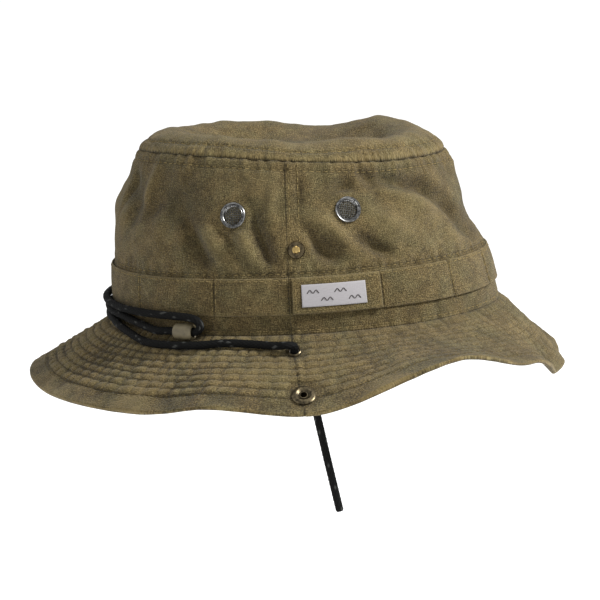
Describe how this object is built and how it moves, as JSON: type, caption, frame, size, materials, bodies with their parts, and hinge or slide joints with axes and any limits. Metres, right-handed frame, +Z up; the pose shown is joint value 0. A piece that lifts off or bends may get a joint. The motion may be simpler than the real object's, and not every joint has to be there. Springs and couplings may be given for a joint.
{
  "type": "bucket hat",
  "caption": "Canvas bucket hat with a dished crown, vent eyelets, a stitched hat band, a quilted wavy brim that snaps up at the sides and a braided chin cord.",
  "frame": {"origin": "middle of the head opening, level with the seam between crown and brim", "axes": "+Z up, the wearer faces -X, the wearer's left is -Y"},
  "size_m": [0.2801, 0.2496, 0.1847],
  "materials": {
    "canvas": "washed olive cotton canvas with a slubby plain weave",
    "inner_cotton": "plain cotton twill",
    "brim_lining": "stiff woven interlining",
    "woven_label": "satin woven label",
    "care_label": "printed cotton tape, blank",
    "vent_metal": "nickel plated, slightly aged",
    "antique_brass": "antique brass, burnished edges",
    "cord": "black round braid with grey flecks",
    "toggle": "matt khaki"
  },
  "bodies": {
    "root": {"crown_tip": "canvas", "crown_panel_front": "canvas", "crown_panel_back": "canvas", "tip_seam_binding": "inner_cotton", "seam_tape_left": "inner_cotton", "seam_tape_right": "inner_cotton", "sweatband": "inner_cotton", "hat_band_front": "canvas", "hat_band_back": "canvas", "label_tab": "canvas", "woven_label": "woven_label", "care_label": "care_label", "brim_top_front": "canvas", "brim_top_back": "canvas", "brim_lining_front": "brim_lining", "brim_lining_back": "brim_lining", "brim_under_front": "canvas", "brim_under_back": "canvas", "vent_rim_left_front": "vent_metal", "vent_rim_left_back": "vent_metal", "vent_rim_right_front": "vent_metal", "vent_rim_right_back": "vent_metal", "vent_mesh_left_front": "vent_metal", "vent_mesh_left_back": "vent_metal", "vent_mesh_right_front": "vent_metal", "vent_mesh_right_back": "vent_metal", "vent_washer_left_front": "vent_metal", "vent_washer_left_back": "vent_metal", "vent_washer_right_front": "vent_metal", "vent_washer_right_back": "vent_metal", "snap_stud_left": "antique_brass", "snap_stud_right": "antique_brass", "snap_post_left": "antique_brass", "snap_post_right": "antique_brass", "cord_run_left": "cord", "cord_run_right": "cord"},
    "brim_side_left": {"brim_top_side_left": "canvas", "brim_lining_side_left": "brim_lining", "brim_under_side_left": "canvas", "snap_socket_left": "antique_brass", "snap_cap_left": "antique_brass", "cord_eyelet_left": "antique_brass", "cord_washer_left": "antique_brass"},
    "brim_side_right": {"brim_top_side_right": "canvas", "brim_lining_side_right": "brim_lining", "brim_under_side_right": "canvas", "snap_socket_right": "antique_brass", "snap_cap_right": "antique_brass", "cord_eyelet_right": "antique_brass", "cord_washer_right": "antique_brass"},
    "cord_end_left": {"cord_end_left": "cord"},
    "cord_end_right": {"cord_end_right": "cord"},
    "toggle_left": {"toggle_left": "toggle"},
    "toggle_right": {"toggle_right": "toggle"}
  },
  "joints": [
    {"name": "brim_fold_left", "type": "hinge", "parent": "root", "child": "brim_side_left", "pos_m": [0, -0.0852, 0.00255], "axis": [-1, 0, 0], "range_deg": [0, 137], "deforming": ["cord_run_left", "cord_end_left"]},
    {"name": "brim_fold_right", "type": "hinge", "parent": "root", "child": "brim_side_right", "pos_m": [0, 0.0852, 0.00255], "axis": [1, 0, 0], "range_deg": [0, 137], "deforming": ["cord_run_right", "cord_end_right"]},
    {"name": "cord_hang_left", "type": "hinge", "parent": "brim_side_left", "child": "cord_end_left", "pos_m": [-0.004, -0.0891, -0.0097], "axis": [-1, 0, 0], "range_deg": [-137, 0]},
    {"name": "cord_hang_right", "type": "hinge", "parent": "brim_side_right", "child": "cord_end_right", "pos_m": [-0.004, 0.0891, -0.0097], "axis": [1, 0, 0], "range_deg": [-137, 0]},
    {"name": "toggle_slide_left", "type": "slide", "parent": "root", "child": "toggle_left", "axis": [-0.8755, 0.4833, 0], "range_m": [0, 0.008]},
    {"name": "toggle_slide_right", "type": "slide", "parent": "root", "child": "toggle_right", "axis": [-0.8755, -0.4833, 0], "range_m": [0, 0.008]}
  ],
  "couplings": [
    {"joint": "cord_hang_left", "follows": "brim_fold_left", "ratio": -1},
    {"joint": "cord_hang_right", "follows": "brim_fold_right", "ratio": -1}
  ]
}
